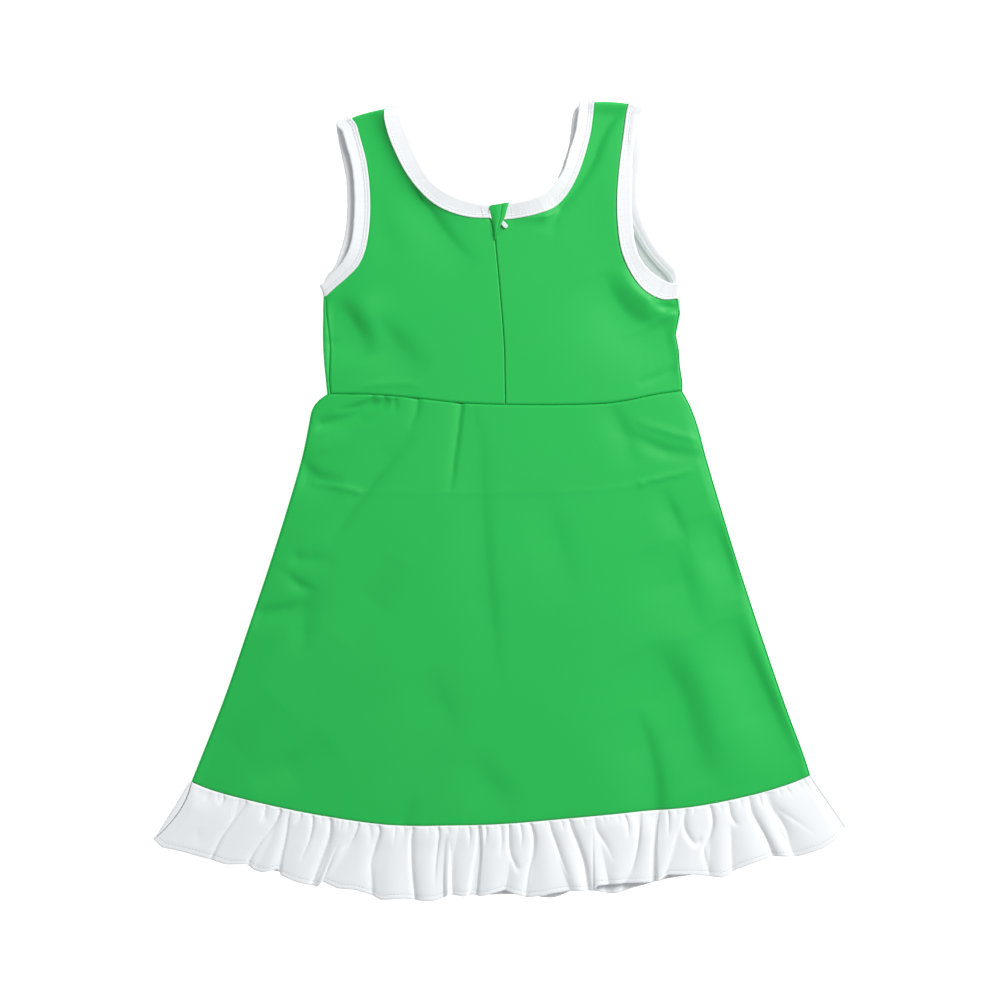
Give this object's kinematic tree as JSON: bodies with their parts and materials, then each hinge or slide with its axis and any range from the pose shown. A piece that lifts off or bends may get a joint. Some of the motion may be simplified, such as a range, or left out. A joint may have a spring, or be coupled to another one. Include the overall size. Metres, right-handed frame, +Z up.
{
  "type": "child's sleeveless athletic dress",
  "caption": "Sleeveless child's dress lying flat, back up: bound neck and armholes, back zip with pull tab and guard flap, A-line skirt and gathered hem ruffle.",
  "frame": {"origin": "middle of the rectangle the dress covers on the surface it lies on", "axes": "+Z up from the surface and out of the back panel, +Y from hem to neck, +X to the right as seen from above with the neck at the top"},
  "size_m": [0.5198, 0.6018, 0.0087],
  "materials": {
    "green_knit": "smooth stretch knit",
    "white_knit": "smooth stretch knit",
    "zip_tape": "woven tape",
    "zip_metal": "satin",
    "tab_enamel": "gloss"
  },
  "bodies": {
    "dress": {"bodice_back_left": "green_knit", "bodice_back_right": "green_knit", "bodice_front": "green_knit", "skirt_back": "green_knit", "skirt_front": "green_knit", "ruffle_back": "white_knit", "ruffle_front": "white_knit", "neck_binding": "white_knit", "armhole_binding_left": "white_knit", "armhole_binding_right": "white_knit", "zip_flap": "green_knit", "zip_tape": "zip_tape", "zip_slider": "zip_metal"},
    "pull_tab": {"pull_tab": "tab_enamel"}
  },
  "joints": [
    {"name": "tab_swing", "type": "hinge", "parent": "dress", "child": "pull_tab", "pos_m": [-0.0042, 0.21459, 0.0062], "axis": [0, 0, 1], "range_deg": [-50, 54]}
  ]
}
